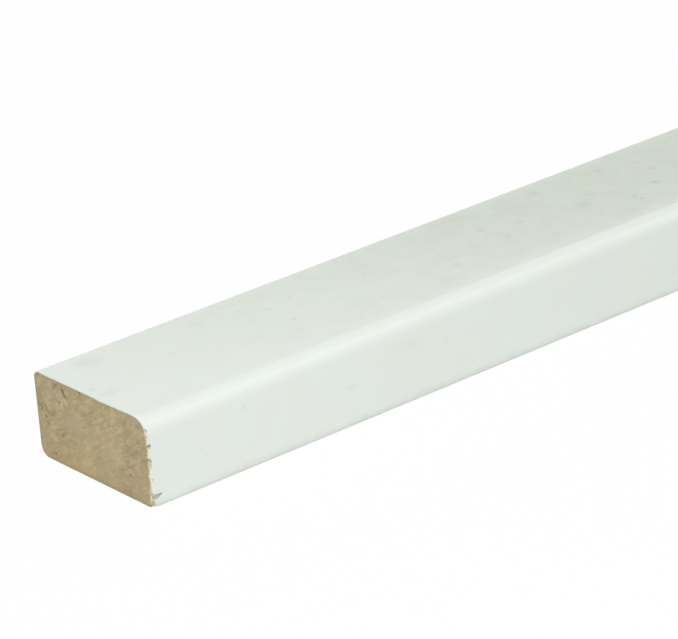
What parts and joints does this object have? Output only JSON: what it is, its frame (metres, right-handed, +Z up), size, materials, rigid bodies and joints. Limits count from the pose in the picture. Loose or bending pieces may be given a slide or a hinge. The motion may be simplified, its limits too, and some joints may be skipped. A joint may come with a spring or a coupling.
{
  "type": "glazing bead",
  "caption": "Rectangular white-finished fibreboard bead with one rounded long edge, three eased edges and square sawn ends.",
  "frame": {"origin": "middle of the underside, halfway along the bead", "axes": "+X along the bead, with the sawn end that the picture shows at -X; +Y from the room side to the glass side; +Z up, from the rebate face to the opposite wide face"},
  "size_m": [2.4, 0.02, 0.01],
  "materials": {
    "white_finish": "satin white lacquer on medium-density fibreboard, with the brown board bare on both sawn ends"
  },
  "bodies": {
    "root": {"glazing_bead": "white_finish"}
  },
  "joints": []
}
